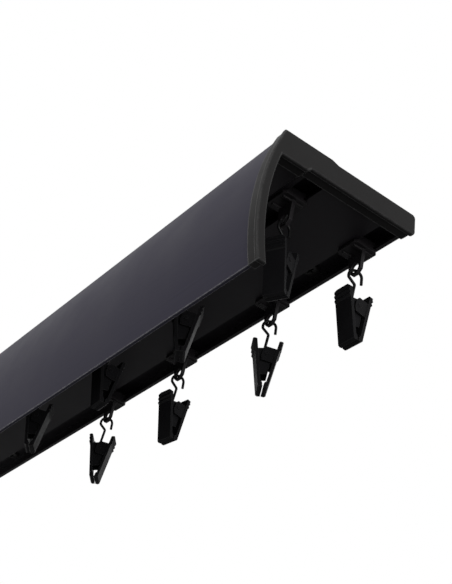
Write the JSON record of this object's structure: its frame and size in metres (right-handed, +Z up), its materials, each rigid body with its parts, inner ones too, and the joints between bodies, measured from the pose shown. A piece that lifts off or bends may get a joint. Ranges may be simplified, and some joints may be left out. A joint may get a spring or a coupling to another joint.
{
  "type": "curtain track",
  "caption": "Ceiling curtain track with slotted channels in two rows, a bowed fascia, end caps and sliding gliders that carry hooks with sprung curtain clips.",
  "frame": {"origin": "on the ceiling face, over the front channel's centre line, at mid length", "axes": "+X along the track towards the near end, +Y from the room towards the wall, +Z up into the ceiling"},
  "size_m": [0.42, 0.0837, 0.0708],
  "materials": {
    "rail_plastic": "satin black extruded plastic",
    "fascia_plastic": "satin black extruded plastic with fine draw lines",
    "cap_plastic": "fine grained black moulded plastic",
    "glider_plastic": "smooth black moulded plastic",
    "hook_wire": "black coated bent wire",
    "clip_plastic": "satin black moulded plastic",
    "spring_steel": "blackened spring wire"
  },
  "bodies": {
    "track": {"rail": "rail_plastic", "fascia": "fascia_plastic", "near_end_cap": "cap_plastic", "far_end_cap": "cap_plastic"},
    "rear_1_glider": {"rear_1_glider": "glider_plastic"},
    "rear_1_hook": {"rear_1_hook": "hook_wire"},
    "rear_1_clip": {"rear_1_inner_jaw": "clip_plastic", "rear_1_spring": "spring_steel"},
    "rear_1_jaw": {"rear_1_outer_jaw": "clip_plastic"},
    "rear_2_glider": {"rear_2_glider": "glider_plastic"},
    "rear_2_hook": {"rear_2_hook": "hook_wire"},
    "rear_2_clip": {"rear_2_inner_jaw": "clip_plastic", "rear_2_spring": "spring_steel"},
    "rear_2_jaw": {"rear_2_outer_jaw": "clip_plastic"},
    "rear_3_glider": {"rear_3_glider": "glider_plastic"},
    "rear_3_hook": {"rear_3_hook": "hook_wire"},
    "rear_3_clip": {"rear_3_inner_jaw": "clip_plastic", "rear_3_spring": "spring_steel"},
    "rear_3_jaw": {"rear_3_outer_jaw": "clip_plastic"},
    "rear_4_glider": {"rear_4_glider": "glider_plastic"},
    "rear_4_hook": {"rear_4_hook": "hook_wire"},
    "rear_4_clip": {"rear_4_inner_jaw": "clip_plastic", "rear_4_spring": "spring_steel"},
    "rear_4_jaw": {"rear_4_outer_jaw": "clip_plastic"},
    "front_1_glider": {"front_1_glider": "glider_plastic"},
    "front_1_hook": {"front_1_hook": "hook_wire"},
    "front_1_clip": {"front_1_inner_jaw": "clip_plastic", "front_1_spring": "spring_steel"},
    "front_1_jaw": {"front_1_outer_jaw": "clip_plastic"},
    "front_2_glider": {"front_2_glider": "glider_plastic"},
    "front_2_hook": {"front_2_hook": "hook_wire"},
    "front_2_clip": {"front_2_inner_jaw": "clip_plastic", "front_2_spring": "spring_steel"},
    "front_2_jaw": {"front_2_outer_jaw": "clip_plastic"},
    "front_3_glider": {"front_3_glider": "glider_plastic"},
    "front_3_hook": {"front_3_hook": "hook_wire"},
    "front_3_clip": {"front_3_inner_jaw": "clip_plastic", "front_3_spring": "spring_steel"},
    "front_3_jaw": {"front_3_outer_jaw": "clip_plastic"},
    "front_4_glider": {"front_4_glider": "glider_plastic"},
    "front_4_hook": {"front_4_hook": "hook_wire"},
    "front_4_clip": {"front_4_inner_jaw": "clip_plastic", "front_4_spring": "spring_steel"},
    "front_4_jaw": {"front_4_outer_jaw": "clip_plastic"}
  },
  "joints": [
    {"name": "rear_1_slide", "type": "slide", "parent": "track", "child": "rear_1_glider", "axis": [1, 0, 0], "range_m": [-0.039, 0.013]},
    {"name": "rear_1_hook_swing", "type": "hinge", "parent": "rear_1_glider", "child": "rear_1_hook", "pos_m": [0.1828, 0.0435, -0.02265], "axis": [0.2588, 0.9659, 0], "range_deg": [-35, 35]},
    {"name": "rear_1_clip_swing", "type": "hinge", "parent": "rear_1_hook", "child": "rear_1_clip", "pos_m": [0.1828, 0.0435, -0.04345], "axis": [1, 0, 0], "range_deg": [-14, 7]},
    {"name": "rear_1_jaw_open", "type": "hinge", "parent": "rear_1_clip", "child": "rear_1_jaw", "pos_m": [0.1828, 0.0435, -0.04345], "axis": [1, 0, 0], "range_deg": [0, 13], "stiffness_Nm_per_rad": 0.12, "springref_deg": -14.32, "deforming": ["rear_1_spring"]},
    {"name": "rear_2_slide", "type": "slide", "parent": "track", "child": "rear_2_glider", "axis": [1, 0, 0], "range_m": [-0.056, 0.039]},
    {"name": "rear_2_hook_swing", "type": "hinge", "parent": "rear_2_glider", "child": "rear_2_hook", "pos_m": [0.123, 0.0435, -0.02265], "axis": [0.4695, 0.8829, 0], "range_deg": [-35, 35]},
    {"name": "rear_2_clip_swing", "type": "hinge", "parent": "rear_2_hook", "child": "rear_2_clip", "pos_m": [0.123, 0.0435, -0.04345], "axis": [0.848, -0.5299, 0], "range_deg": [-14, 7]},
    {"name": "rear_2_jaw_open", "type": "hinge", "parent": "rear_2_clip", "child": "rear_2_jaw", "pos_m": [0.123, 0.0435, -0.04345], "axis": [0.848, -0.5299, 0], "range_deg": [0, 13], "stiffness_Nm_per_rad": 0.12, "springref_deg": -14.32, "deforming": ["rear_2_spring"]},
    {"name": "rear_3_slide", "type": "slide", "parent": "track", "child": "rear_3_glider", "axis": [1, 0, 0], "range_m": [-0.051, 0.056]},
    {"name": "rear_3_hook_swing", "type": "hinge", "parent": "rear_3_glider", "child": "rear_3_hook", "pos_m": [0.0466, 0.0435, -0.02265], "axis": [0.2419, 0.9703, 0], "range_deg": [-35, 35]},
    {"name": "rear_3_clip_swing", "type": "hinge", "parent": "rear_3_hook", "child": "rear_3_clip", "pos_m": [0.0466, 0.0435, -0.04345], "axis": [0.9945, 0.1045, 0], "range_deg": [-14, 7]},
    {"name": "rear_3_jaw_open", "type": "hinge", "parent": "rear_3_clip", "child": "rear_3_jaw", "pos_m": [0.0466, 0.0435, -0.04345], "axis": [0.9945, 0.1045, 0], "range_deg": [0, 13], "stiffness_Nm_per_rad": 0.12, "springref_deg": -14.32, "deforming": ["rear_3_spring"]},
    {"name": "rear_4_slide", "type": "slide", "parent": "track", "child": "rear_4_glider", "axis": [1, 0, 0], "range_m": [-0.171, 0.051]},
    {"name": "rear_4_hook_swing", "type": "hinge", "parent": "rear_4_glider", "child": "rear_4_hook", "pos_m": [-0.0245, 0.0435, -0.02265], "axis": [0.5, 0.866, 0], "range_deg": [-35, 35]},
    {"name": "rear_4_clip_swing", "type": "hinge", "parent": "rear_4_hook", "child": "rear_4_clip", "pos_m": [-0.0245, 0.0435, -0.04345], "axis": [0.7986, -0.6018, 0], "range_deg": [-14, 7]},
    {"name": "rear_4_jaw_open", "type": "hinge", "parent": "rear_4_clip", "child": "rear_4_jaw", "pos_m": [-0.0245, 0.0435, -0.04345], "axis": [0.7986, -0.6018, 0], "range_deg": [0, 13], "stiffness_Nm_per_rad": 0.12, "springref_deg": -14.32, "deforming": ["rear_4_spring"]},
    {"name": "front_1_slide", "type": "slide", "parent": "track", "child": "front_1_glider", "axis": [1, 0, 0], "range_m": [-0.047, 0.011]},
    {"name": "front_1_hook_swing", "type": "hinge", "parent": "front_1_glider", "child": "front_1_hook", "pos_m": [0.1854, 0, -0.02265], "axis": [-0.0523, 0.9986, 0], "range_deg": [-35, 35]},
    {"name": "front_1_clip_swing", "type": "hinge", "parent": "front_1_hook", "child": "front_1_clip", "pos_m": [0.1854, 0, -0.04345], "axis": [0.9063, 0.4226, 0], "range_deg": [-14, 7]},
    {"name": "front_1_jaw_open", "type": "hinge", "parent": "front_1_clip", "child": "front_1_jaw", "pos_m": [0.1854, 0, -0.04345], "axis": [0.9063, 0.4226, 0], "range_deg": [0, 13], "stiffness_Nm_per_rad": 0.12, "springref_deg": -14.32, "deforming": ["front_1_spring"]},
    {"name": "front_2_slide", "type": "slide", "parent": "track", "child": "front_2_glider", "axis": [1, 0, 0], "range_m": [-0.048, 0.047]},
    {"name": "front_2_hook_swing", "type": "hinge", "parent": "front_2_glider", "child": "front_2_hook", "pos_m": [0.118, 0, -0.02265], "axis": [0.4067, 0.9135, 0], "range_deg": [-35, 35]},
    {"name": "front_2_clip_swing", "type": "hinge", "parent": "front_2_hook", "child": "front_2_clip", "pos_m": [0.118, 0, -0.04345], "axis": [0.848, -0.5299, 0], "range_deg": [-14, 7]},
    {"name": "front_2_jaw_open", "type": "hinge", "parent": "front_2_clip", "child": "front_2_jaw", "pos_m": [0.118, 0, -0.04345], "axis": [0.848, -0.5299, 0], "range_deg": [0, 13], "stiffness_Nm_per_rad": 0.12, "springref_deg": -14.32, "deforming": ["front_2_spring"]},
    {"name": "front_3_slide", "type": "slide", "parent": "track", "child": "front_3_glider", "axis": [1, 0, 0], "range_m": [-0.051, 0.048]},
    {"name": "front_3_hook_swing", "type": "hinge", "parent": "front_3_glider", "child": "front_3_hook", "pos_m": [0.05, 0, -0.02265], "axis": [0.342, 0.9397, 0], "range_deg": [-35, 35]},
    {"name": "front_3_clip_swing", "type": "hinge", "parent": "front_3_hook", "child": "front_3_clip", "pos_m": [0.05, 0, -0.04345], "axis": [0.9976, -0.0698, 0], "range_deg": [-14, 7]},
    {"name": "front_3_jaw_open", "type": "hinge", "parent": "front_3_clip", "child": "front_3_jaw", "pos_m": [0.05, 0, -0.04345], "axis": [0.9976, -0.0698, 0], "range_deg": [0, 13], "stiffness_Nm_per_rad": 0.12, "springref_deg": -14.32, "deforming": ["front_3_spring"]},
    {"name": "front_4_slide", "type": "slide", "parent": "track", "child": "front_4_glider", "axis": [1, 0, 0], "range_m": [-0.174, 0.051]},
    {"name": "front_4_hook_swing", "type": "hinge", "parent": "front_4_glider", "child": "front_4_hook", "pos_m": [-0.021, 0, -0.02265], "axis": [0.4695, 0.8829, 0], "range_deg": [-35, 35]},
    {"name": "front_4_clip_swing", "type": "hinge", "parent": "front_4_hook", "child": "front_4_clip", "pos_m": [-0.021, 0, -0.04345], "axis": [0.829, -0.5592, 0], "range_deg": [-14, 7]},
    {"name": "front_4_jaw_open", "type": "hinge", "parent": "front_4_clip", "child": "front_4_jaw", "pos_m": [-0.021, 0, -0.04345], "axis": [0.829, -0.5592, 0], "range_deg": [0, 13], "stiffness_Nm_per_rad": 0.12, "springref_deg": -14.32, "deforming": ["front_4_spring"]}
  ]
}
